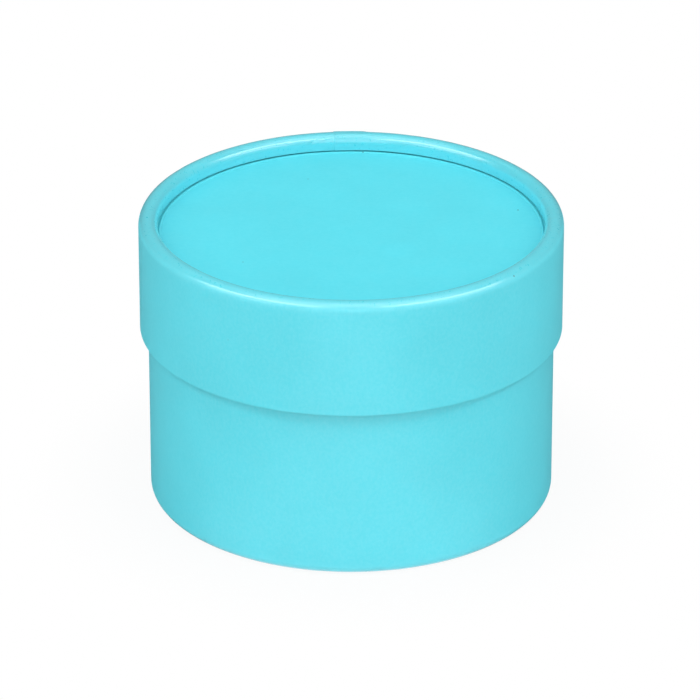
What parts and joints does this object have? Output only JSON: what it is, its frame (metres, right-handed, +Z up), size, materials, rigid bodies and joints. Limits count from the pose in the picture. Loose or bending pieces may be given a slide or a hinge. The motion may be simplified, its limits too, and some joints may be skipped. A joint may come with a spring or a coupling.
{
  "type": "round box",
  "caption": "Round paper-covered board box with rolled edges and a lift-off lid that slides down over the base.",
  "frame": {"origin": "centre of the foot, on the surface that the box stands on", "axes": "+Z up along the box's axis, towards the lid; +Y away from the picture's camera"},
  "size_m": [0.09, 0.0901, 0.0634],
  "materials": {
    "cover_paper": "satin coated paper, turquoise",
    "wound_board": "raw wound board",
    "disc_board": "raw pressed board",
    "lining_paper": "matt uncoated paper, off-white"
  },
  "bodies": {
    "base": {"base_tube": "wound_board", "base_cover": "cover_paper", "base_lining": "lining_paper", "base_disc": "disc_board", "base_disc_facing": "cover_paper", "base_disc_liner": "lining_paper"},
    "lid": {"lid_tube": "wound_board", "lid_cover": "cover_paper", "lid_lining": "lining_paper", "lid_disc": "disc_board", "lid_disc_facing": "cover_paper", "lid_disc_liner": "lining_paper"}
  },
  "joints": [
    {"name": "lid_lift", "type": "slide", "parent": "base", "child": "lid", "axis": [0, 0, 1], "range_m": [0, 0.05]}
  ]
}
